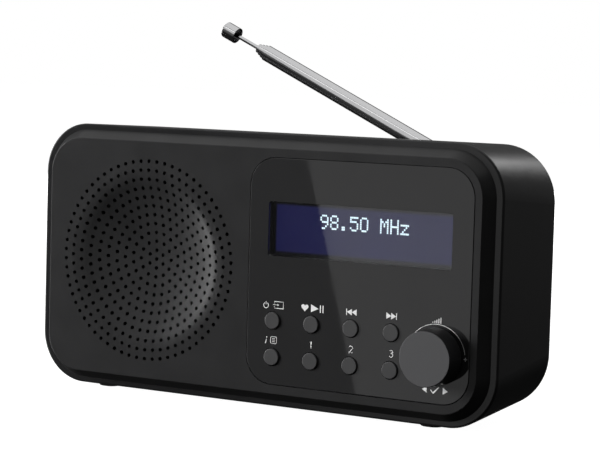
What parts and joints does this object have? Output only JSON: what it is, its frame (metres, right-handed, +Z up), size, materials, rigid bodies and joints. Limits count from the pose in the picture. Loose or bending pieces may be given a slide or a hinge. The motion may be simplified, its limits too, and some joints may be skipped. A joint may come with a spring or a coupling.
{
  "type": "tabletop radio",
  "caption": "Compact portable digital radio with dished speaker grille, glossy control panel, display, push buttons, volume knob and folding telescopic aerial.",
  "frame": {"origin": "middle of the footprint, on the surface that the feet stand on", "axes": "+X to the right seen from the front, -Y towards the listener, +Z up"},
  "size_m": [0.152, 0.053, 0.1107],
  "materials": {
    "cabinet_plastic": "fine moulded texture",
    "front_plastic": "fine moulded texture",
    "rubber_foot": "soft matt",
    "panel_gloss": "high gloss",
    "window_clear": "clear, polished",
    "lcd_screen": "blue negative display",
    "guide_white": "diffusing white",
    "inner_black": "moulded",
    "inner_white": "moulded",
    "contact_brass": "plated",
    "knob_plastic": "satin",
    "button_plastic": "satin",
    "steel_part": "plain zinc-plated",
    "black_screw": "black oxide",
    "board_green": "solder resist",
    "shield_tin": "tin plated",
    "capacitor_sleeve": "shrink sleeve",
    "foam_grey": "foam",
    "cone_paper": "pressed paper",
    "copper_coil": "enamelled wire",
    "magnet_ferrite": "ferrite",
    "battery_sleeve": "sleeve",
    "label_grey": "blank label film",
    "aerial_chrome": "polished",
    "wire_red": "insulated wire"
  },
  "bodies": {
    "case": {"cabinet": "cabinet_plastic", "front_panel": "front_plastic", "rear_cover": "cabinet_plastic", "feet": "rubber_foot", "aerial_rest": "rubber_foot", "control_panel": "panel_gloss", "display_window": "window_clear", "lcd_glass": "lcd_screen", "light_guide": "guide_white", "lcd_holder": "inner_black", "display_pins": "contact_brass", "tact_switches": "inner_black", "encoder_body": "steel_part", "main_board": "board_green", "socket_board": "board_green", "board_screws": "steel_part", "case_screws": "black_screw", "socket_screws": "steel_part", "speaker_screws": "steel_part", "tuner_shield": "shield_tin", "board_chips": "inner_black", "capacitors": "capacitor_sleeve", "speaker_gasket": "foam_grey", "speaker_basket": "steel_part", "speaker_surround": "rubber_foot", "speaker_cone": "cone_paper", "dust_cap": "cone_paper", "voice_coil": "copper_coil", "speaker_magnet": "magnet_ferrite", "battery_pack": "battery_sleeve", "battery_contacts": "contact_brass", "rating_label": "label_grey", "earphone_jack": "inner_black", "usb_socket": "shield_tin", "speaker_leads": "wire_red", "aerial_lead": "wire_red"},
    "power_key": {"power_button": "button_plastic"},
    "play_key": {"play_button": "button_plastic"},
    "previous_key": {"previous_button": "button_plastic"},
    "next_key": {"next_button": "button_plastic"},
    "menu_key": {"menu_button": "button_plastic"},
    "preset_1_key": {"preset_1_button": "button_plastic"},
    "preset_2_key": {"preset_2_button": "button_plastic"},
    "preset_3_key": {"preset_3_button": "button_plastic"},
    "encoder_rotor": {"encoder_rotor": "inner_white"},
    "knob": {"volume_knob": "knob_plastic", "encoder_shaft": "steel_part"},
    "aerial_base": {"aerial_swivel": "aerial_chrome", "aerial_nut": "steel_part", "aerial_pin": "aerial_chrome"},
    "aerial_arm": {"aerial_foot": "aerial_chrome", "aerial_section_1": "aerial_chrome"},
    "aerial_stage_2": {"aerial_section_2": "aerial_chrome"},
    "aerial_stage_3": {"aerial_section_3": "aerial_chrome"},
    "aerial_stage_4": {"aerial_section_4": "aerial_chrome"},
    "aerial_whip": {"aerial_rod": "aerial_chrome", "aerial_tip": "aerial_chrome"},
    "battery_door": {"battery_door": "cabinet_plastic"}
  },
  "joints": [
    {"name": "power_press", "type": "slide", "parent": "case", "child": "power_key", "axis": [0, 1, 0], "range_m": [0, 0.0006], "stiffness_N_per_m": 800, "springref_m": -0.0005},
    {"name": "play_press", "type": "slide", "parent": "case", "child": "play_key", "axis": [0, 1, 0], "range_m": [0, 0.0006], "stiffness_N_per_m": 800, "springref_m": -0.0005},
    {"name": "previous_press", "type": "slide", "parent": "case", "child": "previous_key", "axis": [0, 1, 0], "range_m": [0, 0.0006], "stiffness_N_per_m": 800, "springref_m": -0.0005},
    {"name": "next_press", "type": "slide", "parent": "case", "child": "next_key", "axis": [0, 1, 0], "range_m": [0, 0.0006], "stiffness_N_per_m": 800, "springref_m": -0.0005},
    {"name": "menu_press", "type": "slide", "parent": "case", "child": "menu_key", "axis": [0, 1, 0], "range_m": [0, 0.0006], "stiffness_N_per_m": 800, "springref_m": -0.0005},
    {"name": "preset_1_press", "type": "slide", "parent": "case", "child": "preset_1_key", "axis": [0, 1, 0], "range_m": [0, 0.0006], "stiffness_N_per_m": 800, "springref_m": -0.0005},
    {"name": "preset_2_press", "type": "slide", "parent": "case", "child": "preset_2_key", "axis": [0, 1, 0], "range_m": [0, 0.0006], "stiffness_N_per_m": 800, "springref_m": -0.0005},
    {"name": "preset_3_press", "type": "slide", "parent": "case", "child": "preset_3_key", "axis": [0, 1, 0], "range_m": [0, 0.0006], "stiffness_N_per_m": 800, "springref_m": -0.0005},
    {"name": "knob_spin", "type": "hinge", "parent": "case", "child": "encoder_rotor", "pos_m": [0.059, -0.01941, 0.02079], "axis": [0, 1, 0], "continuous": true},
    {"name": "knob_press", "type": "slide", "parent": "encoder_rotor", "child": "knob", "axis": [0, 1, 0], "range_m": [0, 0.0005], "stiffness_N_per_m": 1500, "springref_m": -0.0004},
    {"name": "aerial_swivel", "type": "hinge", "parent": "case", "child": "aerial_base", "pos_m": [0.0474, 0.02389, 0.0686], "axis": [0, 1, 0], "range_deg": [-25.05, 154.95]},
    {"name": "aerial_tilt", "type": "hinge", "parent": "aerial_base", "child": "aerial_arm", "pos_m": [0.0474, 0.02389, 0.0686], "axis": [-0.4234, 0, -0.9059], "range_deg": [0, 90]},
    {"name": "aerial_slide_2", "type": "slide", "parent": "aerial_arm", "child": "aerial_stage_2", "axis": [-0.9059, 0, 0.4234], "range_m": [-0.001, 0.056]},
    {"name": "aerial_slide_3", "type": "slide", "parent": "aerial_stage_2", "child": "aerial_stage_3", "axis": [-0.9059, 0, 0.4234], "range_m": [-0.001, 0.056]},
    {"name": "aerial_slide_4", "type": "slide", "parent": "aerial_stage_3", "child": "aerial_stage_4", "axis": [-0.9059, 0, 0.4234], "range_m": [-0.001, 0.056]},
    {"name": "aerial_slide_5", "type": "slide", "parent": "aerial_stage_4", "child": "aerial_whip", "axis": [-0.9059, 0, 0.4234], "range_m": [-0.008, 0.056]},
    {"name": "door_hinge", "type": "hinge", "parent": "case", "child": "battery_door", "pos_m": [0.024, 0.02009, 0.0109], "axis": [-1, 0, 0], "range_deg": [0, 80]}
  ]
}
